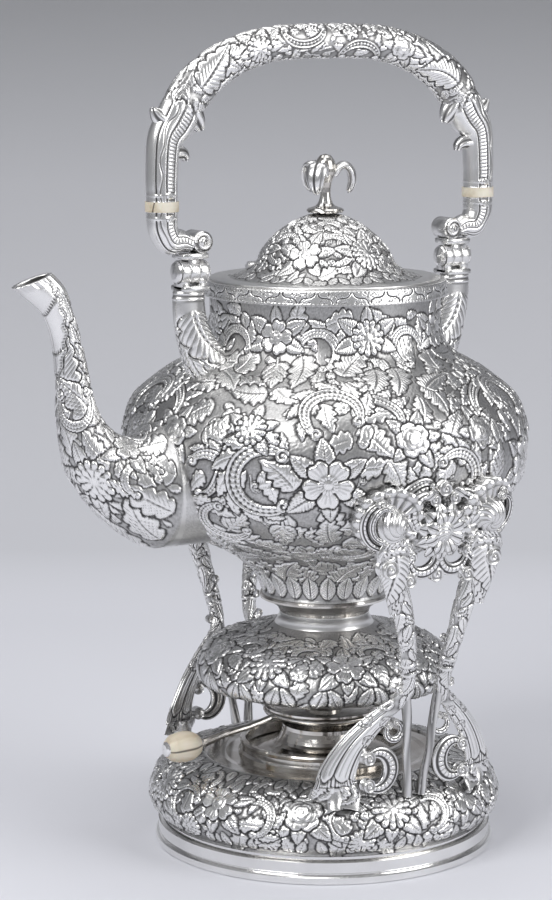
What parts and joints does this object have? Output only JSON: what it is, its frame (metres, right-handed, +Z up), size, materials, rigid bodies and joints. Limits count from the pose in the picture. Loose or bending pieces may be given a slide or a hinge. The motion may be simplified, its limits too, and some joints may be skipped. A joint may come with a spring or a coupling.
{
  "type": "spirit kettle on stand",
  "caption": "Silver spirit kettle with spout, hinged lid and swinging bail handle, resting in a scroll-legged stand over a lift-out spirit lamp on a domed round base.",
  "frame": {"origin": "centre of the plinth's flat bottom ring, on the table", "axes": "+Z up, spout along -X, lid hinge on the +Y side, lamp grip along -X"},
  "size_m": [0.2811, 0.221, 0.4199],
  "materials": {
    "silver_plain": "polished silver",
    "silver_chased": "repousse silver, bright on the crests and oxidised in the ground",
    "silver_cast": "cast and chased silver, darkened in the hollows",
    "ivory": "aged ivory, satin",
    "wick": "woven cotton"
  },
  "bodies": {
    "stand": {"plinth": "silver_plain", "base_border": "silver_chased", "lamp_stage": "silver_plain", "gallery_ring": "silver_plain", "leg_front_left": "silver_cast", "leg_front_right": "silver_cast", "leg_back_left": "silver_cast", "leg_back_right": "silver_cast", "shell_front_left": "silver_cast", "shell_front_right": "silver_cast", "shell_back_left": "silver_cast", "shell_back_right": "silver_cast", "bracket_front": "silver_cast", "bracket_back": "silver_cast", "leg_nuts": "silver_plain"},
    "kettle": {"kettle_body": "silver_chased", "rim_band": "silver_chased", "spout": "silver_chased", "kettle_waist": "silver_plain", "kettle_foot": "silver_chased", "upright_spout_side": "silver_cast", "upright_back_side": "silver_cast", "handle_hinge_pins": "silver_plain", "lid_hinge_rim_leaf": "silver_plain", "lid_hinge_pin": "silver_plain"},
    "lid": {"lid_dome": "silver_chased", "lid_bezel": "silver_plain", "lid_hinge_leaf": "silver_plain", "finial_stem": "silver_cast", "finial_leaves": "silver_cast", "finial_nut": "silver_plain"},
    "handle": {"bail_arch": "silver_chased", "insulator_spout_side": "ivory", "insulator_back_side": "ivory", "insulator_rivets": "silver_plain", "bail_scroll_spout_side": "silver_cast", "bail_scroll_back_side": "silver_cast"},
    "lamp": {"lamp_font": "silver_plain", "lamp_top": "silver_plain", "lamp_rod": "silver_plain", "lamp_grip": "ivory", "lamp_grip_cap": "silver_plain"},
    "burner": {"burner_collar": "silver_plain", "burner_wick": "wick"}
  },
  "joints": [
    {"name": "kettle_lift", "type": "slide", "parent": "stand", "child": "kettle", "axis": [0, 0, 1], "range_m": [0, 0.13]},
    {"name": "lid_hinge", "type": "hinge", "parent": "kettle", "child": "lid", "pos_m": [0, 0.0607, 0.2936], "axis": [-1, 0, 0], "range_deg": [0, 80]},
    {"name": "bail_swing", "type": "hinge", "parent": "kettle", "child": "handle", "pos_m": [0.079, 0, 0.299], "axis": [1, 0, 0], "range_deg": [-70, 70]},
    {"name": "lamp_lift", "type": "slide", "parent": "stand", "child": "lamp", "axis": [0, 0, 1], "range_m": [0, 0.01]},
    {"name": "burner_lift", "type": "slide", "parent": "lamp", "child": "burner", "axis": [0, 0, 1], "range_m": [0, 0.012]}
  ]
}
